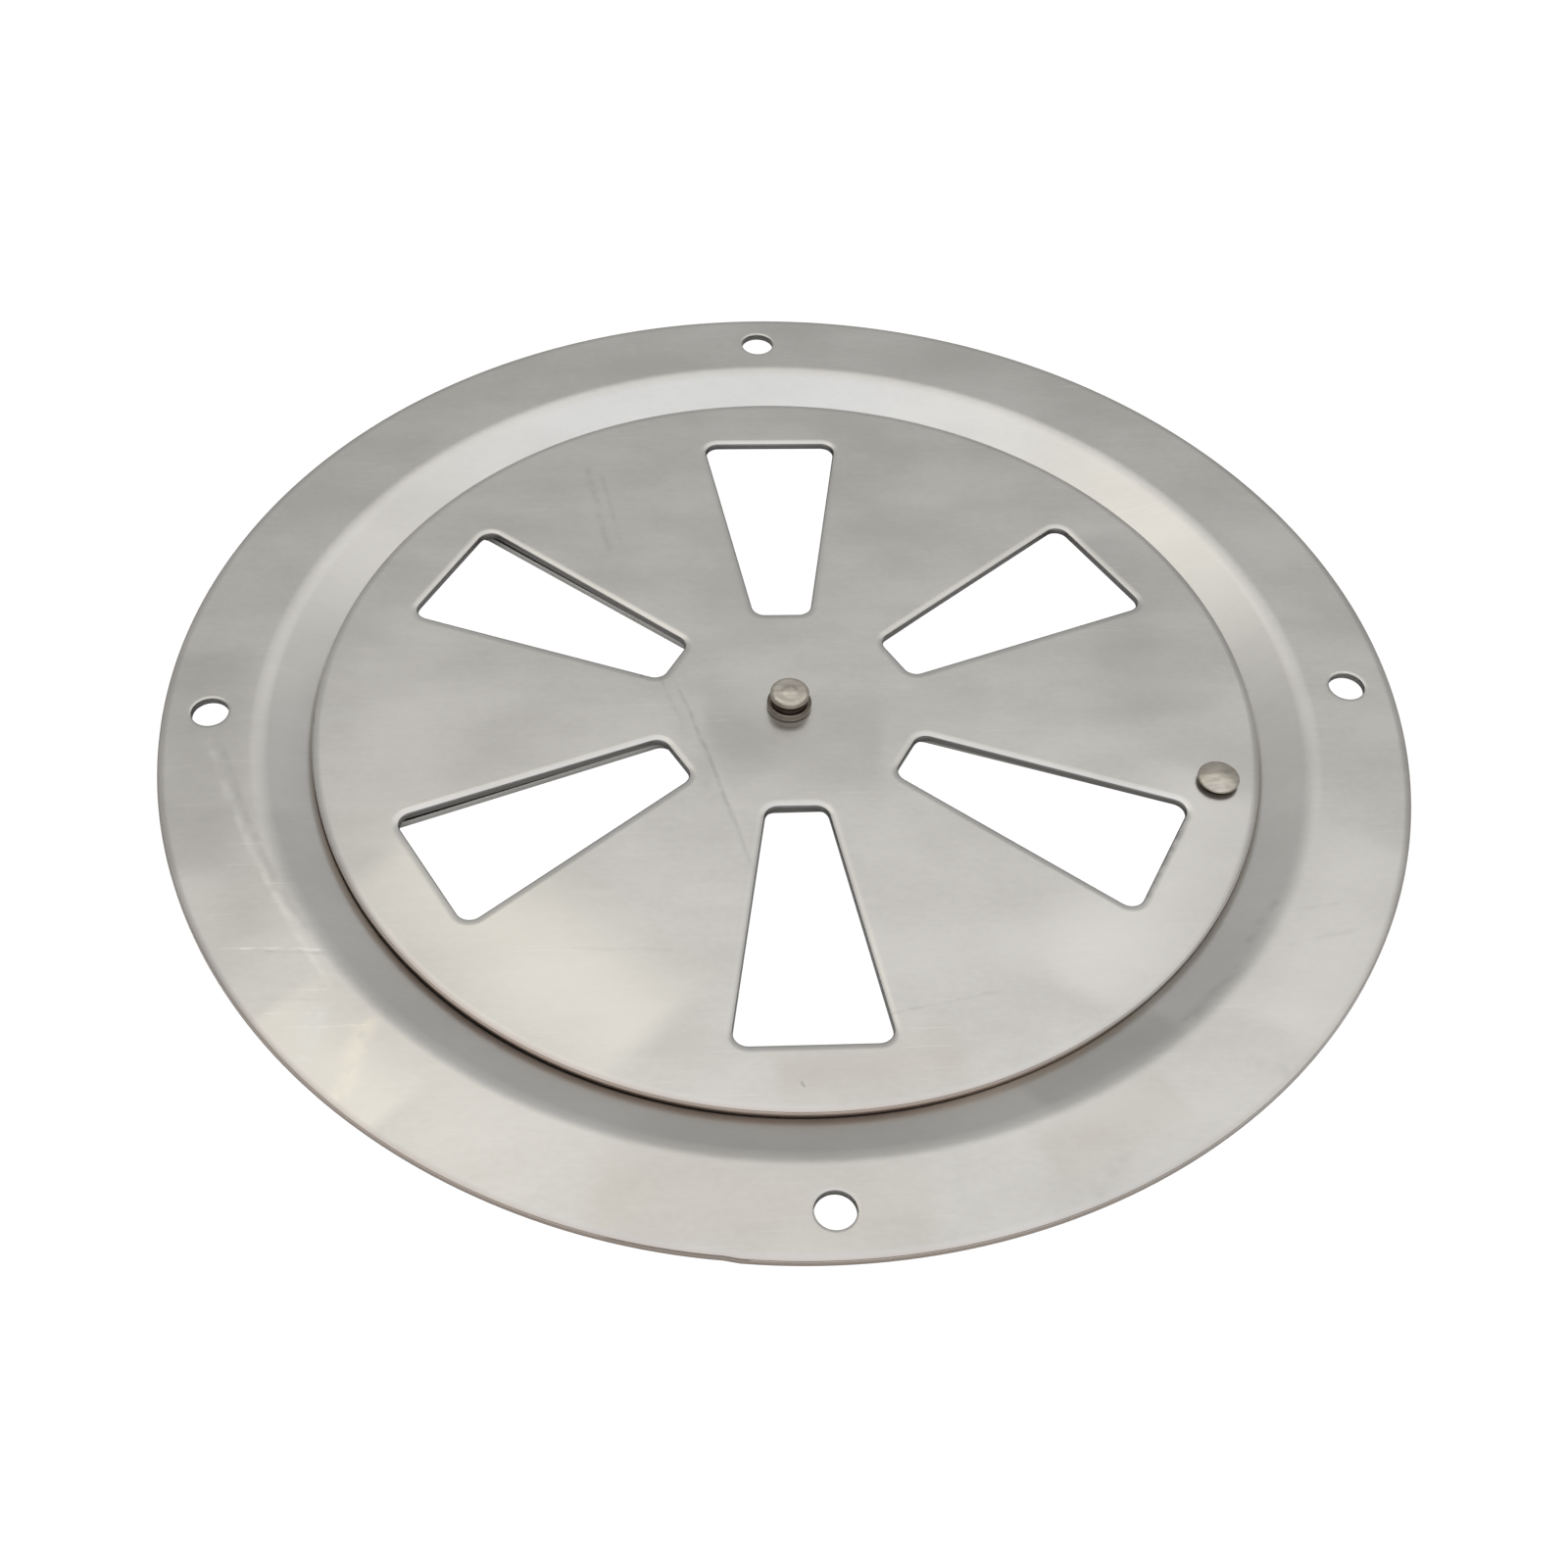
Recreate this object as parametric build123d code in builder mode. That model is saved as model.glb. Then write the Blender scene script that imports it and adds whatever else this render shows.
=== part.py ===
"""Round rotating-shutter vent: a pressed flange plate and a slotted disc that turns in its pan.

The origin is the centre of the screw circle on the flange's back face, with +Z out of the wall.
"""
import os
from math import atan, cos, degrees, radians, sin, tan

from build123d import *

os.makedirs("parts", exist_ok=True)

# Sheet metal
sheet_t = 0.8           # thickness of the flange plate and of the shutter disc
punch_bevel = 0.15      # broken edge that punching and polishing leave on the show side

# Flange plate
flange_dia = 127.0
flange_width = 9.85     # flat flange, from the rim to the corner of the pan's mouth
pan_depth = 2.2         # from the flange's face down to the pan floor
wall_angle = 22.5       # slope of the pan wall, in degrees
mouth_bend = 5.0        # bend radius on the show side, at the mouth of the pan
floor_bend = 1.5        # bend radius on the show side, at the foot of the wall

# Fixing holes
screw_count = 4
screw_hole_dia = 3.7
screw_edge = 4.75       # from the flange's rim to a hole's centre

# Air slots in the shutter
slot_count = 6
slot_inner_r = 13.45    # from the pivot to a slot's narrow end
slot_inner_w = 6.0
slot_outer_w = 15.2
slot_corner = 1.4       # corner radius
slot_rim = 7.2          # from a slot's wide end to the shutter's rim

# Air slots in the pan floor, how far they reach beyond the shutter's
floor_slot_side = 0.5
floor_slot_inner = 0.65
floor_slot_outer = 1.45

# Shutter disc
shutter_overlap = 0.22  # how far the shutter's rim reaches over the foot of the pan wall
shutter_lift = 0.3      # thickness of the washer that holds the shutter off the pan floor
shutter_turn = -0.6     # turn from slots in line to the pose shown, in degrees

# Pivot rivet
pivot_dia = 3.0
pivot_clearance = 0.05  # radial, in the shutter's hole
pivot_play = 0.05       # between the shutter's face and the underside of the head
pivot_collar_dia = 4.6  # collar that keeps the shutter down
pivot_collar_h = 0.8
pivot_neck_dia = 3.4    # groove between the collar and the cap
pivot_cap_dia = 4.0
pivot_cap_h = 0.7       # from the neck to the rim of the cap's crown
pivot_head_h = 2.3      # collar, neck and cap together
pivot_head_bevel = 0.15
pivot_spot_dia = 1.6    # flat in the middle of the cap's low crown
pivot_crown = 0.12
pivot_tail_dia = 5.2    # formed end behind the pan
pivot_tail_h = 0.8
pivot_tail_bevel = 0.5

# Spacer washer
washer_dia = 8.0
washer_clearance = 0.1  # radial, round the pivot

# Finger knob
knob_edge = 4.25        # from the shutter's rim to the knob's centre
knob_turn = -14.6       # angle of the knob from the line midway between two slots, in degrees
knob_dia = 4.5
knob_foot_dia = 3.6     # where the knob's side, drawn in towards its foot, meets the shutter
knob_h = 0.65
knob_crown = 0.35       # rise of the domed top
knob_bevel = 0.2
knob_shank_dia = 2.4
knob_stake_dia = 3.4    # mouth of the countersink that the staked end fills
knob_stake_depth = 0.45

# Worked out from the sizes above
flange_r = flange_dia / 2
mouth_r = flange_r - flange_width
floor_r = mouth_r - pan_depth / tan(radians(wall_angle))
fold_shift = sheet_t * tan(radians(wall_angle) / 2)
floor_top = sheet_t - pan_depth
floor_bottom = floor_top - sheet_t
screw_circle_r = flange_r - screw_edge
shutter_r = floor_r + shutter_overlap
shutter_bottom = floor_top + shutter_lift
shutter_top = shutter_bottom + sheet_t
slot_outer_r = shutter_r - slot_rim
slot_flare = (slot_outer_w - slot_inner_w) / 2 / (slot_outer_r - slot_inner_r)
pivot_r = pivot_dia / 2
head_bottom = shutter_top + pivot_play
head_top = head_bottom + pivot_head_h
knob_top = shutter_top + knob_h
knob_shank_r = knob_shank_dia / 2
knob_stake_r = knob_stake_dia / 2
knob_x = (shutter_r - knob_edge) * cos(radians(shutter_turn + knob_turn))
knob_y = (shutter_r - knob_edge) * sin(radians(shutter_turn + knob_turn))


def air_slot(inner_r, outer_r, side_gap):
    """One round-cornered slot along +X, side_gap wider on each side than the shutter's taper."""
    inner_half_w = slot_inner_w / 2 + (inner_r - slot_inner_r) * slot_flare + side_gap
    outer_half_w = slot_outer_w / 2 + (outer_r - slot_outer_r) * slot_flare + side_gap
    with BuildSketch() as outline:
        with BuildLine():
            Polyline(
                (inner_r, -inner_half_w),
                (outer_r, -outer_half_w),
                (outer_r, outer_half_w),
                (inner_r, inner_half_w),
                close=True,
            )
        make_face()
        fillet(outline.vertices(), slot_corner)
    return outline.sketch


shutter_slot = air_slot(slot_inner_r, slot_outer_r, 0)
floor_slot = air_slot(
    slot_inner_r - floor_slot_inner,
    slot_outer_r + floor_slot_outer,
    floor_slot_side,
)


# Flange plate, one pressing: flange, sloping wall and slotted pan floor
with BuildPart() as flange_plate:
    with BuildSketch(Plane.XZ) as section:
        with BuildLine():
            Polyline(
                (0, floor_bottom),
                (floor_r + fold_shift, floor_bottom),
                (mouth_r + fold_shift, 0),
                (flange_r, 0),
                (flange_r, sheet_t),
                (mouth_r, sheet_t),
                (floor_r, floor_top),
                (0, floor_top),
                close=True,
            )
        make_face()
        fillet(section.vertices().sort_by_distance((floor_r, floor_top))[0], floor_bend)
        fillet(
            section.vertices().sort_by_distance((floor_r + fold_shift, floor_bottom))[0],
            floor_bend + sheet_t,
        )
        fillet(section.vertices().sort_by_distance((mouth_r, sheet_t))[0], mouth_bend)
        fillet(
            section.vertices().sort_by_distance((mouth_r + fold_shift, 0))[0],
            mouth_bend - sheet_t,
        )
        chamfer(section.vertices().sort_by_distance((flange_r, sheet_t))[0], punch_bevel)
    revolve(axis=Axis.Z)

    with BuildSketch(Plane.XY.offset(floor_top)):
        with PolarLocations(0, slot_count, start_angle=90):
            add(floor_slot)
    extrude(amount=-sheet_t, mode=Mode.SUBTRACT)
    with Locations((0, 0, sheet_t)):
        with PolarLocations(screw_circle_r, screw_count):
            Hole(screw_hole_dia / 2, depth=sheet_t)
    flange_face = flange_plate.faces().filter_by(Plane.XY).sort_by(Axis.Z)[-1]
    chamfer(flange_face.edges().filter_by(lambda e: e.radius == screw_hole_dia / 2), punch_bevel)

    with Locations((0, 0, floor_top)):
        Hole(pivot_r, depth=sheet_t)
flange_plate.part.label = "flange_plate"
export_step(flange_plate.part, "parts/flange_plate.step")


# Shutter disc, drawn in the turned frame of the pose shown
with BuildPart() as shutter_disc:
    with BuildSketch(Plane.XY.offset(shutter_bottom).rotated((0, 0, shutter_turn))):
        Circle(shutter_r)
        with PolarLocations(0, slot_count, start_angle=90):
            add(shutter_slot, mode=Mode.SUBTRACT)
    extrude(amount=sheet_t)
    chamfer(shutter_disc.faces().sort_by(Axis.Z)[-1].edges(), punch_bevel)

    with Locations((0, 0, shutter_top)):
        Hole(pivot_r + pivot_clearance, depth=sheet_t)
    with Locations(Plane((knob_x, knob_y, shutter_bottom), z_dir=(0, 0, -1))):
        CounterSinkHole(
            knob_shank_r,
            knob_stake_r,
            depth=sheet_t,
            counter_sink_angle=2 * degrees(atan((knob_stake_r - knob_shank_r) / knob_stake_depth)),
        )
shutter_disc.part.label = "shutter_disc"
export_step(shutter_disc.part, "parts/shutter_disc.step")


# Pivot rivet: cap and collar, shank through both sheets and the formed end behind the pan
cap_rim = head_top - pivot_crown
cap_corner = (pivot_cap_dia / 2, cap_rim)
collar_corner = (pivot_collar_dia / 2, head_bottom + pivot_collar_h)
tail_corner = (pivot_tail_dia / 2, floor_bottom - pivot_tail_h)
with BuildPart() as pivot_rivet:
    with BuildSketch(Plane.XZ) as section:
        with BuildLine():
            Polyline(
                (0, head_top),
                (pivot_spot_dia / 2, head_top),
                cap_corner,
                (pivot_cap_dia / 2, cap_rim - pivot_cap_h),
                (pivot_neck_dia / 2, cap_rim - pivot_cap_h),
                (pivot_neck_dia / 2, head_bottom + pivot_collar_h),
                collar_corner,
                (pivot_collar_dia / 2, head_bottom),
                (pivot_r, head_bottom),
                (pivot_r, floor_bottom),
                (pivot_tail_dia / 2, floor_bottom),
                tail_corner,
                (0, floor_bottom - pivot_tail_h),
                close=True,
            )
        make_face()
        for corner in (cap_corner, collar_corner):
            chamfer(section.vertices().sort_by_distance(corner)[0], pivot_head_bevel)
        chamfer(section.vertices().sort_by_distance(tail_corner)[0], pivot_tail_bevel)
    revolve(axis=Axis.Z)
pivot_rivet.part.label = "pivot_rivet"
export_step(pivot_rivet.part, "parts/pivot_rivet.step")


# Spacer washer, round the pivot between the pan floor and the shutter
with BuildPart() as spacer_washer:
    with BuildSketch(Plane.XY.offset(floor_top)):
        Circle(washer_dia / 2)
        Circle(pivot_r + washer_clearance, mode=Mode.SUBTRACT)
    extrude(amount=shutter_lift)
spacer_washer.part.label = "spacer_washer"
export_step(spacer_washer.part, "parts/spacer_washer.step")


# Finger knob: domed head over a smaller foot, its shank staked flush into the shutter's countersink
with BuildPart() as finger_knob:
    with BuildSketch(Plane((knob_x, knob_y, 0), x_dir=(1, 0, 0), z_dir=(0, -1, 0))) as section:
        with BuildLine():
            Polyline(
                (0, knob_top + knob_crown),
                (0, shutter_bottom),
                (knob_stake_r, shutter_bottom),
                (knob_shank_r, shutter_bottom + knob_stake_depth),
                (knob_shank_r, shutter_top),
                (knob_foot_dia / 2, shutter_top),
                (knob_dia / 2, knob_top),
            )
            TangentArc((0, knob_top + knob_crown), (knob_dia / 2, knob_top), tangent=(1, 0))
        make_face()
        chamfer(section.vertices().sort_by_distance((knob_dia / 2, knob_top))[0], knob_bevel)
    revolve(axis=Axis((knob_x, knob_y, 0), (0, 0, 1)))
finger_knob.part.label = "finger_knob"
export_step(finger_knob.part, "parts/finger_knob.step")
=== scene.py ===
"""Looks of the round rotating-shutter vent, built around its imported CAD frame, in metres."""
from math import atan2, cos, pi, radians, sin, tan

import bmesh
import bpy
from mathutils import Matrix, Vector


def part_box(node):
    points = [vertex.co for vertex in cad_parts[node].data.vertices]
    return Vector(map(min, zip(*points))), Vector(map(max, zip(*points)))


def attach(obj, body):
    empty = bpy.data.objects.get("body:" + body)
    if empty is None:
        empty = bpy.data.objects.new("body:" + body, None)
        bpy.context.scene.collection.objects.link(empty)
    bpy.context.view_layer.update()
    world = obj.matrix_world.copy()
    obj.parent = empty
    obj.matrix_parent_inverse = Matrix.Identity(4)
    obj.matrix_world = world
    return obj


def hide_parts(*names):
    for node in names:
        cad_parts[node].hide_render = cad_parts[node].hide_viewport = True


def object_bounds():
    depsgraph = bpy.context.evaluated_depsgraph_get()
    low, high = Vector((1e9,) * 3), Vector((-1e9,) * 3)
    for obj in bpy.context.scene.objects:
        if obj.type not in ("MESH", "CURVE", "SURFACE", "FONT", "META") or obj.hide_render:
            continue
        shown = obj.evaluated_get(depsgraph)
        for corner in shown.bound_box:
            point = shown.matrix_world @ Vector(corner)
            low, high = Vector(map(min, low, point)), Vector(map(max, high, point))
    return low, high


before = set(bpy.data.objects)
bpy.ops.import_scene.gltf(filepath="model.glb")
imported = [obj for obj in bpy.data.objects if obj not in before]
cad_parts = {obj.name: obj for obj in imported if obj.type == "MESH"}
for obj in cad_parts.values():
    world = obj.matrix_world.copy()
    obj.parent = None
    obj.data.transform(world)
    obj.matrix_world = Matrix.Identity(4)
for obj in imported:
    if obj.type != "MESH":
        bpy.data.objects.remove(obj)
cad_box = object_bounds()
scene = bpy.context.scene

# Camera, from the photograph's viewing angle
CAM_ELEVATION = radians(49.575)
CAM_AZIMUTH = radians(-6.216)
CAM_ROLL = radians(3.273)
CAM_DISTANCE = 0.20259
CAM_AIM = Vector((-0.001238, -0.010837, 0.0))
CAM_LENS = 46.570
CAM_SENSOR = 36.0
CAM_CLIP = 0.01

# Sizes that the frame's boxes don't give, the same as in the CAD
MM = 0.001
FLANGE_WIDTH = 9.85 * MM
WALL_ANGLE = radians(22.5)
MOUTH_BEND = 5.0 * MM
FLOOR_BEND = 1.5 * MM
SCREW_COUNT = 4
SCREW_HOLE_R = 1.85 * MM
SCREW_EDGE = 4.75 * MM
SLOT_COUNT = 6
SLOT_START = radians(90)
SLOT_INNER_R = 13.45 * MM
SLOT_INNER_W = 6.0 * MM
SLOT_OUTER_W = 15.2 * MM
SLOT_CORNER = 1.4 * MM
SLOT_RIM = 7.2 * MM
FLOOR_SLOT_SIDE = 0.5 * MM
FLOOR_SLOT_INNER = 0.65 * MM
FLOOR_SLOT_OUTER = 1.45 * MM
SHUTTER_TURN = radians(-0.6)
PIVOT_R = 1.5 * MM
PIVOT_CLEARANCE = 0.05 * MM
PIVOT_COLLAR_R = 2.3 * MM
PIVOT_COLLAR_H = 0.8 * MM
PIVOT_NECK_R = 1.7 * MM
PIVOT_CAP_R = 2.0 * MM
PIVOT_CAP_H = 0.7 * MM
PIVOT_HEAD_H = 2.3 * MM
PIVOT_CROWN = 0.12 * MM
KNOB_FOOT_R = 1.8 * MM
KNOB_SHANK_R = 1.2 * MM
KNOB_STAKE_R = 1.7 * MM
KNOB_STAKE_DEPTH = 0.45 * MM
KNOB_CROWN = 0.35 * MM

# Finer forms of the two rivets
PIVOT_SPOT_R = 0.5 * MM              # raised spot in the middle of the cap
PIVOT_SPOT_FOOT_R = 0.85 * MM
PIVOT_SPOT_H = 0.07 * MM
PIVOT_SLOPE_W = 0.3 * MM             # slope round the cap's face
PIVOT_SLOPE_TOP = 0.09 * MM          # below the spot's top
PIVOT_SLOPE_FOOT = 0.1 * MM          # below the rim of the crown
# Painted shade: how dark the collar's side is, and how far the neck's shade reaches
PIVOT_COLLAR_DARK = 0.55
PIVOT_NECK_DARK = (0.05 * MM, 0.15 * MM)  # how far the neck's painted shade reaches below and above it
KNOB_EDGE_W = 0.1 * MM               # rounded edge of the dome
KNOB_EDGE_DROP = 0.14 * MM
KNOB_WAIST_DROP = 0.5 * MM           # narrow place above the foot
KNOB_WAIST_FLARE = 0.08 * MM
KNOB_DARK_DROP = 0.18 * MM           # from the dome's edge to the painted shade on the side
KNOB_HOLE_LAND = 0.3 * MM            # flat ring round the knob's hole in the shutter
DOME_STEPS = 10

# Edges that a punch leaves: a rolled show side, an upright wall and a crisp back
ROLL_REACH = 0.85 * MM
ROLL_DROP = 0.17 * MM
ROLL_CORNER = 0.14 * MM
BACK_BREAK = 0.05 * MM
CUT_START = 0.5                      # share of the roll's drop at which the cut wall starts
HOLE_ROLL = 0.45                     # share of the roll that the round holes have
HOLE_DARK = 0.6                      # and of the painted shade on a cut wall
PAN_SLOT_ROLL = 0.06                 # the same for the slots in the pan's floor
PAN_SLOT_DARK = 0.35
WARM_ROLL = 0.85                     # share of a warm rim's tint that its roll has
FLANGE_RIM_WARM = 0.8
FLANGE_RIM_SIDES = 0.4               # share of a rim's copper tint and painted shade that is left away from the front
SHUTTER_RIM_WARM = 1.0
SHUTTER_RIM_SIDES = 0.18
FRONT_START = radians(-172)          # the front stretch of a rim, where its copper tint and painted shade are kept, and how softly it ends
FRONT_END = radians(-50)
FRONT_FADE = radians(34)
DENT_DEPTH = 0.14 * MM               # flat spot on the flange's rim, deepest where it ends
DENT_START = radians(-114)
DENT_END = radians(-98.4)
BURR = 0.08 * MM                     # turned down at the back of the shutter's rim
LEAN = 0.09 * MM                     # how far the play in the pivot lets the shutter's rim sink
LEAN_WAY = radians(-40)              # on this side

# Mesh density
RIM_POINTS = 288
HOLE_POINTS = 48
CORNER_STEPS = 8
SIDE_STEPS = 10
CURVE_STEPS = 6
BEND_STEPS = 12
SAME_PLACE = 1e-7                    # points closer than this are one

# Light from all round: degrees above the horizon, level and how much bluer than white
SKY = (
    (-90, 0.10, 0.0),
    (0, 0.32, 0.0),
    (10, 0.38, 0.0),
    (20, 0.45, 0.0),
    (30, 0.52, 0.0),
    (40, 0.49, 0.0),
    (46, 0.43, 0.0),
    (48.5, 0.50, 0.0),
    (51, 1.20, 0.0),
    (57, 1.16, -0.03),
    (62, 0.92, -0.07),
    (70, 1.02, 0.06),
    (90, 1.02, 0.10),
)
SKY_TILT = radians(6.0)
SKY_FRONT = (0.15, 0.75, 1.0, 1.3)   # the light grows towards the side that the camera is on
SKY_SIDE = (0.33, 0.46, 1.0, 0.86)   # and fades a little towards the right

# Softbox, and a white floor that runs up into a dome
LAMP_AZIMUTH = radians(-24.0)
LAMP_ELEVATION = radians(61.0)
LAMP_DISTANCE = 1.0
LAMP_SIZE = (0.30, 0.23)
LAMP_POWER = 0.066
LAMP_COLOUR = (1.0, 0.92, 0.72)
COVE_R = 4.0
COVE_STEPS = 12
FLOOR_LEVEL = 1.05
BOUNCE_COLOUR = (0.80, 0.80, 0.80, 1)

# Noises in the sheets' steel: grain along X, Y and Z in mm, detail and shift of the seed
SHEET_NOISES = {
    "fine": ((3.5, 0.14, 3.5), 3.0, 0.0),
    "broad": ((16, 0.7, 16), 3.0, 3.1),
    "grit": ((0.9, 0.5, 0.9), 3.0, 4.4),
    "cloud": ((13, 8, 13), 4.0, 5.7),
    "wave": ((24, 17, 24), 1.0, 7.9),
    "stray": ((9, 0.2, 9), 1.0, 8.3),
    "broken": ((1.6, 1.6, 1.6), 2.0, 9.2),
    "drift": ((3.0, 3.0, 3.0), 2.0, 10.6),
}
NOISE_SHIFT = (1.0, 1.7, 0.3)        # way in which a seed moves a noise
TONE = {"fine": 0.08, "broad": 0.07, "grit": 0.19, "cloud": 0.66}
WAVES = {"wave": 0.8, "cloud": 0.2}
GRAIN = {"fine": 0.7, "broad": 0.5}
WAVE_DEPTH = 0.08 * MM
GRAIN_DEPTH = 0.00022 * MM
NOISE_SPAN = (0.3, 0.7)              # middle of a noise's range, spread from low to high
PATCHY = (0.34, 0.62, 0.15, 1.0)     # how broken up a narrow mark is
STRAY = (0.70, 0.78, 0.20)           # noise levels of stray scratches, and their strength

# Steel
STEEL_LOW = (0.589, 0.574, 0.541, 1)
STEEL_HIGH = (0.689, 0.673, 0.639, 1)
STEEL_ROUGHNESS = (0.277, 0.295)
STEEL_ANISOTROPY = 0.35
BRUSH_SWAY = 0.06                    # how far the brushing strays from X
# Lighter pressed metal on the pan's bends and wall, and on rolled edges, where it is a painted
# highlight
PRESSED_AND_HIGHLIGHT = (0.80, 0.785, 0.75, 1)
PRESSED_HIGHLIGHT_SHARE = 0.3
# Cut walls: duller cut metal, darkened further with painted shade
CUT_FACE_AND_SHADE = (0.16, 0.153, 0.147, 1)
SHADE_AND_CUT_SHARE = 0.9
COPPER = (0.60, 0.50, 0.43, 1)
COPPER_SPAN = (0.0, 1.0, 0.0, 0.9)
# Painted shade at the back of a warm rim's wall
PAINTED_RIM_SHADE = (0.27, 0.205, 0.18, 1)
PAINTED_RIM_SHADE_SPAN = (1.1, 2.0, 0.0, 0.9)
RIVET_LOW = (0.455, 0.418, 0.358, 1)
RIVET_HIGH = (0.600, 0.560, 0.490, 1)
# Painted shade on the rivets' sides under their heads
RIVET_DARK = (0.11, 0.085, 0.07, 1)
RIVET_GRAIN = (1.4, 0.4, 0.7)
RIVET_SEED = 2.0
RIVET_ROUGHNESS = (0.28, 0.31)

# Marks on the sheets, real ones and painted light and shade: start, end, half width and sideways
# bow in mm, colour and strength
BROAD = 3.0                          # half width from which a mark is an even patch
WAVER = 0.7 * MM                     # how far a mark strays to and fro
MARK_FADE = 0.8                      # share of a mark's length at which it starts to fade
BRIGHT = (0.88, 0.86, 0.82, 1)
DULL = (0.30, 0.29, 0.28, 1)
CREAM = (0.86, 0.80, 0.66, 1)
PALE = (0.90, 0.87, 0.79, 1)
BROWN = (0.46, 0.41, 0.34, 1)
COOL = (0.66, 0.69, 0.71, 1)
FLANGE_MARKS = (
    # Painted highlight along a crease on the left, with a painted shade beside it
    ((-59.2, -2.0), (-43.6, -35.0), 0.60, -1.0, BRIGHT, 0.40),
    ((-57.4, -3.6), (-46.0, -29.0), 0.60, -0.8, DULL, 0.22),
    # Scratches across it
    ((-54.8, -29.5), (-44.0, -30.1), 0.20, 0.0, BRIGHT, 0.75),
    ((-52.0, -30.0), (-44.4, -30.5), 0.22, 0.0, DULL, 0.20),
    ((-49.5, -34.3), (-44.0, -34.6), 0.22, 0.0, BRIGHT, 0.40),
    ((-50.5, -35.3), (-44.5, -35.6), 0.30, 0.0, DULL, 0.16),
    ((-50.0, -36.9), (-44.0, -37.1), 0.18, 0.0, BRIGHT, 0.35),
    ((-48.0, -38.4), (-40.0, -38.6), 0.18, 0.0, BRIGHT, 0.30),
    ((-52.5, -24.3), (-49.5, -24.4), 0.15, 0.0, BRIGHT, 0.40),
    ((-54.0, -17.2), (-51.5, -17.3), 0.15, 0.0, BRIGHT, 0.40),
    # Painted reflections, warm and cool, at the front left
    ((-42.6, -47.0), (-40.2, -37.0), 1.70, 0.0, CREAM, 0.45),
    ((-46.2, -42.5), (-44.6, -36.0), 1.60, 0.0, COOL, 0.50),
    ((-45.6, -44.9), (-44.3, -45.4), 0.35, 0.0, CREAM, 0.80),
    # Smudges at the front right
    ((22.0, -58.5), (26.0, -54.0), 1.20, 0.0, DULL, 0.12),
    ((38.0, -45.5), (42.0, -47.0), 1.00, 0.0, DULL, 0.12),
    # Painted light and shade: broad lighter and darker stretches
    ((58.0, -20.0), (42.0, -44.0), 9.00, 0.0, BRIGHT, 0.30),
    ((-61.0, 10.0), (-59.0, -22.0), 9.00, 0.0, DULL, 0.24),
    ((-50.0, -36.0), (-38.0, -49.0), 8.00, 0.0, PALE, 0.36),
    ((-22.0, -56.0), (10.0, -60.0), 8.00, 0.0, BROWN, 0.20),
    ((18.0, -55.0), (32.0, -48.0), 5.00, 0.0, BROWN, 0.18),
    ((-52.0, 8.0), (-51.0, -14.0), 4.00, 0.0, BRIGHT, 0.30),
    ((18.0, -48.5), (33.0, -40.0), 4.50, 0.0, DULL, 0.22),
    ((-57.5, -12.0), (-51.0, -29.0), 5.00, 0.0, DULL, 0.14),
    # Darker streaks along the mouth of the pan, on the right
    ((33.0, -41.5), (40.5, -34.5), 0.90, 0.0, DULL, 0.22),
    ((41.0, -32.5), (45.5, -27.0), 0.80, 0.0, DULL, 0.20),
    ((44.5, -33.0), (52.0, -31.5), 0.45, 0.0, DULL, 0.12),
    ((46.0, -29.0), (53.5, -28.0), 0.40, 0.0, DULL, 0.10),
)
SHUTTER_MARKS = (
    # Smudges at the back left
    ((-20.9, 38.5), (-18.2, 23.0), 0.60, 0.0, DULL, 0.16),
    ((-19.2, 37.0), (-16.9, 24.0), 0.45, 0.0, DULL, 0.12),
    # Double scuff past the pivot
    ((-15.6, 12.0), (-11.0, -3.0), 0.30, 0.0, DULL, 0.24),
    ((-12.0, 5.0), (-4.4, -23.5), 0.38, 0.3, DULL, 0.20),
    ((-10.9, 1.5), (-6.0, -17.5), 0.42, 0.2, DULL, 0.20),
    ((-14.5, 10.0), (-8.0, -14.0), 1.60, 0.0, DULL, 0.08),
    ((-9.6, 1.0), (-5.2, -19.0), 0.80, 0.0, BRIGHT, 0.10),
    # Strokes and a nick at the front
    ((6.0, -38.6), (17.5, -36.2), 0.25, 0.0, DULL, 0.25),
    ((-25.0, -29.8), (-12.0, -30.5), 0.30, 0.0, DULL, 0.16),
    ((-1.9, -45.2), (-1.6, -46.0), 0.22, 0.0, DULL, 0.70),
    # Painted light and shade: broad lighter and darker stretches
    ((40.0, -4.0), (34.0, 26.0), 10.00, 0.0, DULL, 0.24),
    ((-40.0, 18.0), (-39.0, -20.0), 9.00, 0.0, BRIGHT, 0.20),
    ((-40.0, -16.0), (-14.0, -41.0), 11.00, 0.0, PALE, 0.48),
    ((-10.0, -4.0), (10.0, -6.0), 10.00, 0.0, DULL, 0.24),
    ((43.5, -11.0), (23.0, -37.5), 10.00, 0.0, BRIGHT, 0.40),
    ((-5.0, -44.5), (14.0, -43.5), 6.00, 0.0, BROWN, 0.18),
    ((-9.0, 5.0), (-3.0, -10.0), 5.00, 0.0, DULL, 0.14),
    # Painted shade at the outer end of the front right slot
    ((32.2, -26.7), (39.0, -15.4), 0.85, 0.0, DULL, 0.55),
    # Specks
    ((12.1, 46.3), (12.7, 46.5), 0.25, 0.0, DULL, 0.60),
    ((26.0, 40.3), (26.6, 40.5), 0.25, 0.0, DULL, 0.60),
    ((-15.4, 4.7), (-14.8, 4.5), 0.25, 0.0, DULL, 0.50),
)

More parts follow.
